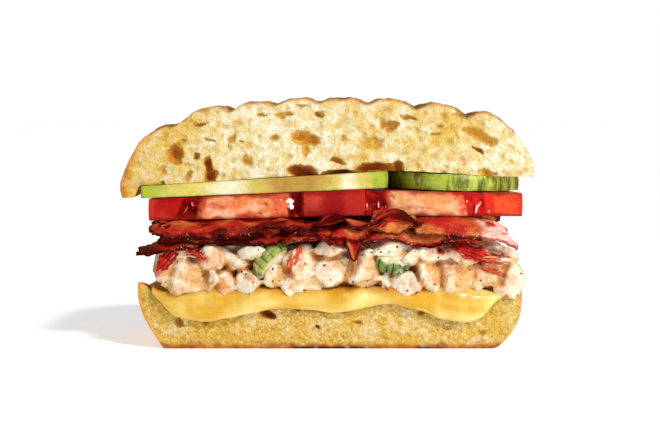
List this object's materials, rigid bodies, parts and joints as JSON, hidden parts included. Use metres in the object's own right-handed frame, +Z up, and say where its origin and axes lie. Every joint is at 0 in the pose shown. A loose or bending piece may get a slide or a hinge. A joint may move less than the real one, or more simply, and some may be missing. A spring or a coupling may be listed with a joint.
{
  "type": "grilled crab sandwich half",
  "caption": "Half of a grilled ciabatta sandwich cut across, layered with melted cheese, crab salad, celery, bacon, tomato and avocado.",
  "frame": {"origin": "on the flat base that it rests on, midway along the cut and midway between the cut face and the back crust", "axes": "+X along the cut face to the viewer's right, +Y from the cut face into the roll, +Z up from the base"},
  "size_m": [0.1321, 0.0712, 0.0806],
  "materials": {
    "toasted_crumb": "open crumb, cream to amber, with a golden crust and charred grill lines",
    "melted_cheese": "smooth and glossy, bright yellow",
    "crab_in_mayonnaise": "moist, cream with red and pepper flecks",
    "celery": "ribbed green skin, pale inside",
    "bacon": "crisp, wet with fat, deep red with amber streaks",
    "tomato": "wet cut flesh, red walls and pink middle",
    "avocado": "smooth cut, pale yellow to green"
  },
  "bodies": {
    "root": {"bread_top": "toasted_crumb", "bread_bottom": "toasted_crumb", "cheese": "melted_cheese", "crab_salad": "crab_in_mayonnaise", "celery_left": "celery", "celery_right": "celery", "bacon_upper_left": "bacon", "bacon_humped": "bacon", "bacon_upper_right": "bacon", "bacon_middle_left": "bacon", "bacon_middle_right": "bacon", "bacon_lower_left": "bacon", "bacon_back_left": "bacon", "bacon_back_right": "bacon", "bacon_back_under": "bacon", "tomato_left": "tomato", "tomato_right": "tomato", "tomato_back_left": "tomato", "tomato_back_right": "tomato", "avocado_left": "avocado", "avocado_right": "avocado", "avocado_back_left": "avocado", "avocado_back_right": "avocado"}
  },
  "joints": []
}
